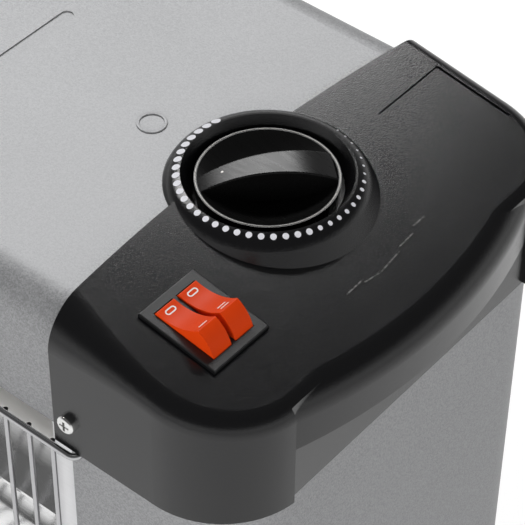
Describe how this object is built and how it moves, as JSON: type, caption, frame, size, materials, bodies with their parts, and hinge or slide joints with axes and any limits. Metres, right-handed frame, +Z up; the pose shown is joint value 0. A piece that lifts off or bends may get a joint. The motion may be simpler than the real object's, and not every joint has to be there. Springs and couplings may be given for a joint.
{
  "type": "quartz heater",
  "caption": "Free-standing landscape quartz heater: sheet-metal body, wire guard over a polished reflector, moulded end caps with grips, thermostat dial and twin rocker switch.",
  "frame": {"origin": "on the floor under the middle of the heater, at the bottom of its foot pads", "axes": "+Z up, +X along the length towards the controls, -Y is the heating front"},
  "size_m": [0.5436, 0.21, 0.3536],
  "materials": {
    "silver_paint": "fine orange-peel metallic silver paint",
    "black_plastic": "fine textured black moulding",
    "gloss_black": "polished black moulding",
    "orange_red": "satin orange-red moulding",
    "chrome_wire": "bright plated wire",
    "polished_aluminium": "polished sheet",
    "quartz": "satin quartz glass",
    "resistance_wire": "oxidised wire",
    "ceramic": "glazed white ceramic",
    "zinc_steel": "zinc-plated steel",
    "brass_blade": "plain brass",
    "white_nylon": "moulded nylon",
    "dark_rubber": "matt rubber"
  },
  "bodies": {
    "casing": {"top_shell": "silver_paint", "right_side_panel": "silver_paint", "left_side_panel": "silver_paint", "rear_panel": "silver_paint", "base_pan": "silver_paint", "control_housing": "black_plastic", "left_cap": "black_plastic", "thermostat_body": "white_nylon", "thermostat_nut": "zinc_steel", "switch_frame": "black_plastic", "switch_terminals": "brass_blade", "reflector": "polished_aluminium", "right_cheek": "polished_aluminium", "left_cheek": "polished_aluminium", "upper_quartz_tube": "quartz", "lower_quartz_tube": "quartz", "upper_heating_coil": "resistance_wire", "lower_heating_coil": "resistance_wire", "ceramic_end_caps": "ceramic", "right_tube_bracket": "zinc_steel", "left_tube_bracket": "zinc_steel", "thermal_cutout": "zinc_steel", "guard": "chrome_wire", "right_foot": "black_plastic", "left_foot": "black_plastic", "foot_pads": "dark_rubber", "tip_switch_housing": "black_plastic", "terminal_block": "white_nylon", "cable_gland": "dark_rubber", "cap_screws": "chrome_wire", "side_panel_screws": "zinc_steel", "rear_panel_screws": "zinc_steel", "foot_screws": "zinc_steel"},
    "dial_knob": {"knob": "gloss_black", "thermostat_shaft": "brass_blade"},
    "front_rocker": {"rocker_front": "orange_red"},
    "rear_rocker": {"rocker_rear": "orange_red"},
    "tip_plunger": {"tip_switch_plunger": "white_nylon"}
  },
  "joints": [
    {"name": "dial_turn", "type": "hinge", "parent": "casing", "child": "dial_knob", "pos_m": [0.1994, 0.001, 0.346], "axis": [0, 0, 1], "range_deg": [-76, 210]},
    {"name": "front_rocker_tilt", "type": "hinge", "parent": "casing", "child": "front_rocker", "pos_m": [0.22206, -0.0629, 0.33816], "axis": [0, 1, 0], "range_deg": [0, 40]},
    {"name": "rear_rocker_tilt", "type": "hinge", "parent": "casing", "child": "rear_rocker", "pos_m": [0.22206, -0.0527, 0.33816], "axis": [0, 1, 0], "range_deg": [0, 40]},
    {"name": "tip_plunger_slide", "type": "slide", "parent": "casing", "child": "tip_plunger", "axis": [0, 0, 1], "range_m": [-0.008, 0]}
  ]
}
